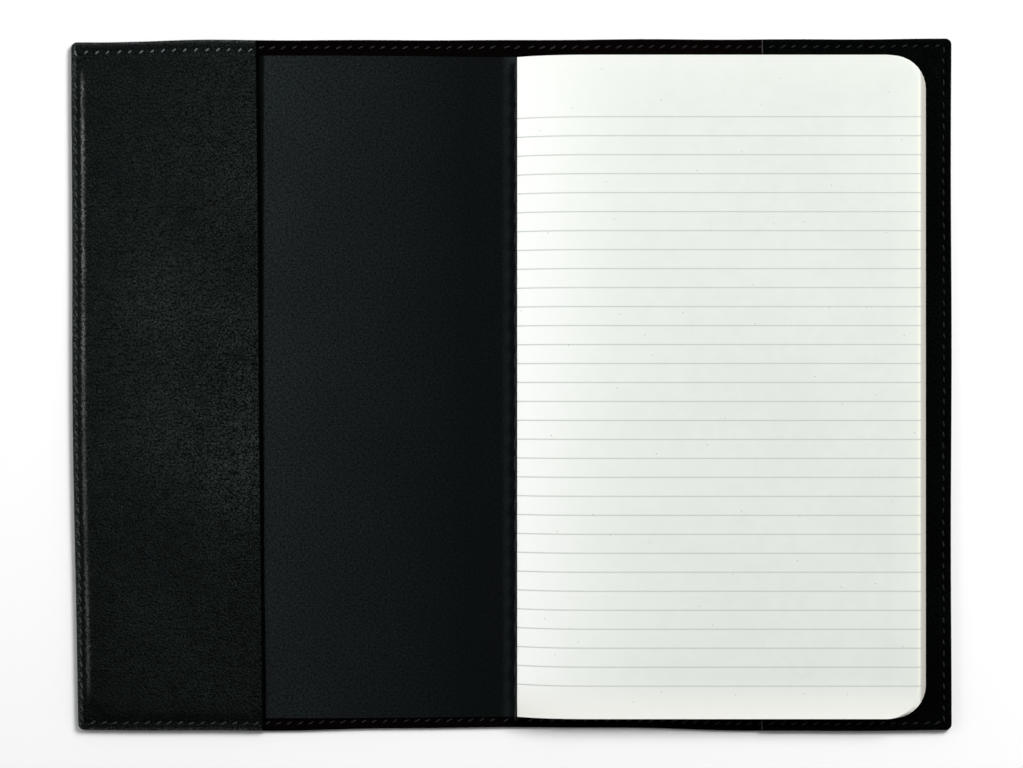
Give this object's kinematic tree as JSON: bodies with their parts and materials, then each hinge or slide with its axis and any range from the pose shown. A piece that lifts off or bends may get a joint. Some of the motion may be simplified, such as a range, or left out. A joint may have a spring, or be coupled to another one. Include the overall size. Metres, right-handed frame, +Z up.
{
  "type": "pocket notebook",
  "caption": "Black leather notebook cover lying open, holding a sewn notebook of ruled, round-cornered leaves in its pockets.",
  "frame": {"origin": "on the table, under the middle of the leather spine's width and height, with the cover lying open", "axes": "+X across the spread from the spine towards the ruled leaves, +Y up the page towards its head, +Z up from the table"},
  "size_m": [0.2768, 0.218, 0.0065],
  "materials": {
    "leather": "soft satin grain",
    "lining_leather": "matte",
    "card": "matte",
    "paper": "uncoated writing paper",
    "thread": "waxed thread"
  },
  "bodies": {
    "notebook": {"card_back": "card", "sewing_thread": "thread"},
    "cover_back": {"leather_back": "leather", "lining_back": "lining_leather", "pocket_flap_back": "leather", "seam_thread_back": "thread"},
    "cover_spine": {"leather_spine": "leather", "lining_spine": "lining_leather", "card_spine": "card", "seam_thread_spine_top": "thread", "seam_thread_spine_bottom": "thread"},
    "cover_front": {"leather_front": "leather", "lining_front": "lining_leather", "pocket_flap_front": "leather", "card_front": "card", "seam_thread_front": "thread"},
    "leaves_31_40": {"leaf_31": "paper", "leaf_32": "paper", "leaf_33": "paper", "leaf_34": "paper", "leaf_35": "paper", "leaf_36": "paper", "leaf_37": "paper", "leaf_38": "paper", "leaf_39": "paper", "leaf_40": "paper"},
    "leaves_21_30": {"leaf_21": "paper", "leaf_22": "paper", "leaf_23": "paper", "leaf_24": "paper", "leaf_25": "paper", "leaf_26": "paper", "leaf_27": "paper", "leaf_28": "paper", "leaf_29": "paper", "leaf_30": "paper"},
    "leaves_11_20": {"leaf_11": "paper", "leaf_12": "paper", "leaf_13": "paper", "leaf_14": "paper", "leaf_15": "paper", "leaf_16": "paper", "leaf_17": "paper", "leaf_18": "paper", "leaf_19": "paper", "leaf_20": "paper"},
    "leaves_05_10": {"leaf_05": "paper", "leaf_06": "paper", "leaf_07": "paper", "leaf_08": "paper", "leaf_09": "paper", "leaf_10": "paper"},
    "leaf_04_body": {"leaf_04": "paper"},
    "leaf_03_body": {"leaf_03": "paper"},
    "leaf_02_body": {"leaf_02": "paper"},
    "leaf_01_body": {"leaf_01": "paper"}
  },
  "joints": [
    {"name": "cover_slide", "type": "slide", "parent": "notebook", "child": "cover_back", "axis": [-1, 0, 0], "range_m": [0, 0.0039]},
    {"name": "cover_fold", "type": "hinge", "parent": "cover_back", "child": "cover_front", "pos_m": [0, 0, 0.00455], "axis": [0, 1, 0], "range_deg": [0, 179.5]},
    {"name": "spine_fold", "type": "hinge", "parent": "cover_back", "child": "cover_spine", "pos_m": [0.00405, 0, 0.0005], "axis": [0, 1, 0], "range_deg": [0, 90]},
    {"name": "turn_leaves_31_40", "type": "hinge", "parent": "notebook", "child": "leaves_31_40", "pos_m": [0.00174, 0, 0.00449], "axis": [0, 1, 0], "range_deg": [-180, 0]},
    {"name": "turn_leaves_21_30", "type": "hinge", "parent": "leaves_31_40", "child": "leaves_21_30", "pos_m": [0.00174, 0, 0.00449], "axis": [0, 1, 0], "range_deg": [-180, 0]},
    {"name": "turn_leaves_11_20", "type": "hinge", "parent": "leaves_21_30", "child": "leaves_11_20", "pos_m": [0.00174, 0, 0.00449], "axis": [0, 1, 0], "range_deg": [-180, 0]},
    {"name": "turn_leaves_05_10", "type": "hinge", "parent": "leaves_11_20", "child": "leaves_05_10", "pos_m": [0.00174, 0, 0.00449], "axis": [0, 1, 0], "range_deg": [-180, 0]},
    {"name": "turn_leaf_04", "type": "hinge", "parent": "leaves_05_10", "child": "leaf_04_body", "pos_m": [0.00174, 0, 0.00449], "axis": [0, 1, 0], "range_deg": [-180, 0]},
    {"name": "turn_leaf_03", "type": "hinge", "parent": "leaf_04_body", "child": "leaf_03_body", "pos_m": [0.00174, 0, 0.00449], "axis": [0, 1, 0], "range_deg": [-180, 0]},
    {"name": "turn_leaf_02", "type": "hinge", "parent": "leaf_03_body", "child": "leaf_02_body", "pos_m": [0.00174, 0, 0.00449], "axis": [0, 1, 0], "range_deg": [-180, 0]},
    {"name": "turn_leaf_01", "type": "hinge", "parent": "leaf_02_body", "child": "leaf_01_body", "pos_m": [0.00174, 0, 0.00449], "axis": [0, 1, 0], "range_deg": [-180, 0]}
  ],
  "couplings": [
    {"joint": "spine_fold", "follows": "cover_fold", "ratio": 0.5},
    {"joint": "cover_slide", "follows": "cover_fold", "m_per_rad": 0.0012414}
  ]
}
